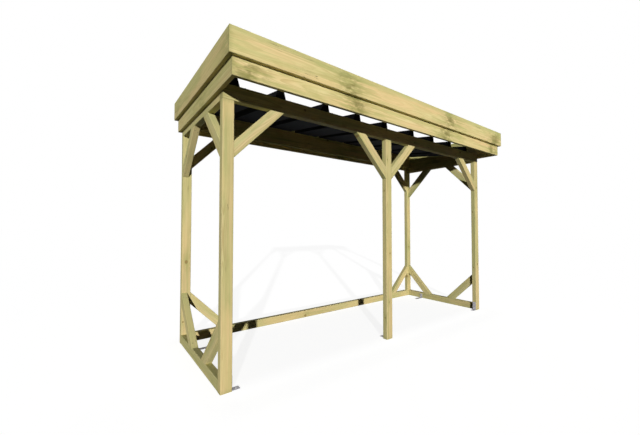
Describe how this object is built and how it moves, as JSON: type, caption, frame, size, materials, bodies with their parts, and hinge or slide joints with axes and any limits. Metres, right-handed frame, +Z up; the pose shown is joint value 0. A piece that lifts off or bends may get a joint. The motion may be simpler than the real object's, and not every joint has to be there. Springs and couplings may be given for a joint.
{
  "type": "log store",
  "caption": "Open-fronted timber log store: a braced post frame on ground rails, with a stepped double fascia hiding a low ribbed steel roof.",
  "frame": {"origin": "on the ground, under the centre of the fascia's plan", "axes": "+Z up, +X along the open front to its right seen from outside, -Y towards the open front"},
  "size_m": [3.104, 1.282, 1.994],
  "materials": {
    "softwood": "planed, pressure treated, matt",
    "fascia_softwood": "planed, pressure treated, matt",
    "roof_steel": "coated, satin",
    "bracket_steel": "galvanised, dull"
  },
  "bodies": {
    "root": {"front_left_post": "softwood", "front_middle_post": "softwood", "front_right_post": "softwood", "back_left_post": "softwood", "back_right_post": "softwood", "left_bottom_rail": "softwood", "right_bottom_rail": "softwood", "back_bottom_rail": "softwood", "front_beam": "softwood", "back_beam": "softwood", "left_top_rail": "softwood", "right_top_rail": "softwood", "front_left_brace": "softwood", "front_middle_left_brace": "softwood", "front_middle_right_brace": "softwood", "front_right_brace": "softwood", "left_side_top_front_brace": "softwood", "left_side_top_back_brace": "softwood", "right_side_top_front_brace": "softwood", "right_side_top_back_brace": "softwood", "left_side_bottom_front_brace": "softwood", "left_side_bottom_back_brace": "softwood", "right_side_bottom_front_brace": "softwood", "right_side_bottom_back_brace": "softwood", "back_top_left_brace": "softwood", "back_top_right_brace": "softwood", "back_bottom_left_brace": "softwood", "back_bottom_right_brace": "softwood", "lower_fascia_front": "fascia_softwood", "lower_fascia_back": "fascia_softwood", "lower_fascia_left": "fascia_softwood", "lower_fascia_right": "fascia_softwood", "upper_fascia_front": "fascia_softwood", "upper_fascia_back": "fascia_softwood", "upper_fascia_left": "fascia_softwood", "upper_fascia_right": "fascia_softwood", "roof_sheet_left": "roof_steel", "roof_sheet_middle": "roof_steel", "roof_sheet_right": "roof_steel", "front_left_bracket": "bracket_steel", "front_middle_bracket": "bracket_steel", "front_right_bracket": "bracket_steel", "left_rail_bracket": "bracket_steel", "right_rail_bracket": "bracket_steel"}
  },
  "joints": []
}
